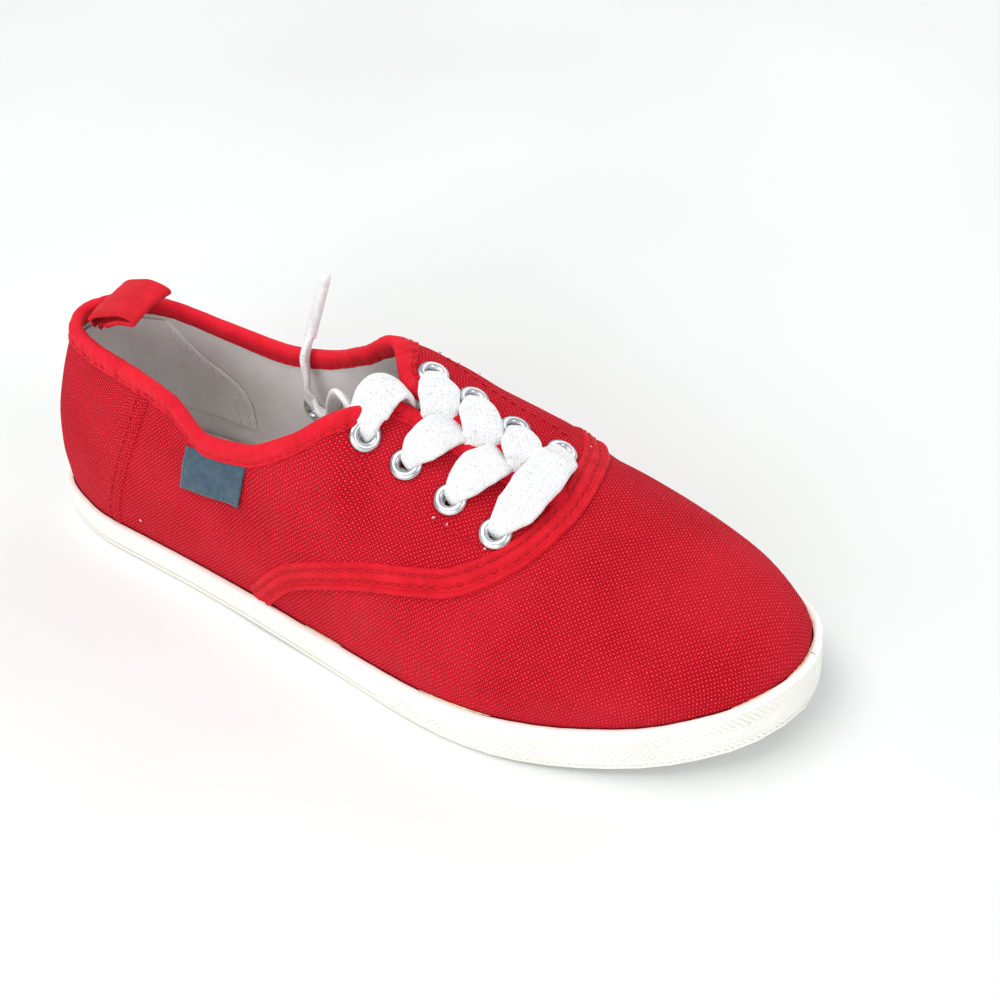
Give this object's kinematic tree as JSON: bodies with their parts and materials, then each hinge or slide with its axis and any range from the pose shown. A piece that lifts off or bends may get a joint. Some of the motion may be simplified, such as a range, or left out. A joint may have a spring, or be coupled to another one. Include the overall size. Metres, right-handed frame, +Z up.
{
  "type": "canvas sneaker",
  "caption": "Low red canvas lace-up sneaker with a hollow cloth upper, open collar and throat, and a flat white rubber sole with a taped edge.",
  "frame": {"origin": "on the floor, under the centre of the shoe's footprint box", "axes": "+X towards the toe, +Z up, -Y towards the outer side of a right shoe"},
  "size_m": [0.257, 0.0924, 0.0851],
  "materials": {
    "canvas": "coarse plain weave",
    "tape": "smooth woven tape",
    "rubber": "satin white rubber",
    "lining": "plain cotton lining",
    "lace": "soft woven flat lace",
    "metal": "polished",
    "label": "woven label, bare"
  },
  "bodies": {
    "root": {"upper": "canvas", "tongue": "canvas", "heel_loop": "tape", "outsole": "rubber", "foxing": "rubber", "insole": "lining", "lace_bar": "lace", "lace_cross_1": "lace", "lace_cross_2": "lace", "lace_cross_3": "lace", "lace_end": "lace", "aglet": "lace", "eyelet_outer_1": "metal", "eyelet_inner_1": "metal", "eyelet_outer_2": "metal", "eyelet_inner_2": "metal", "eyelet_outer_3": "metal", "eyelet_inner_3": "metal", "eyelet_outer_4": "metal", "eyelet_inner_4": "metal", "vent_eyelet": "metal", "side_label": "label"}
  },
  "joints": []
}
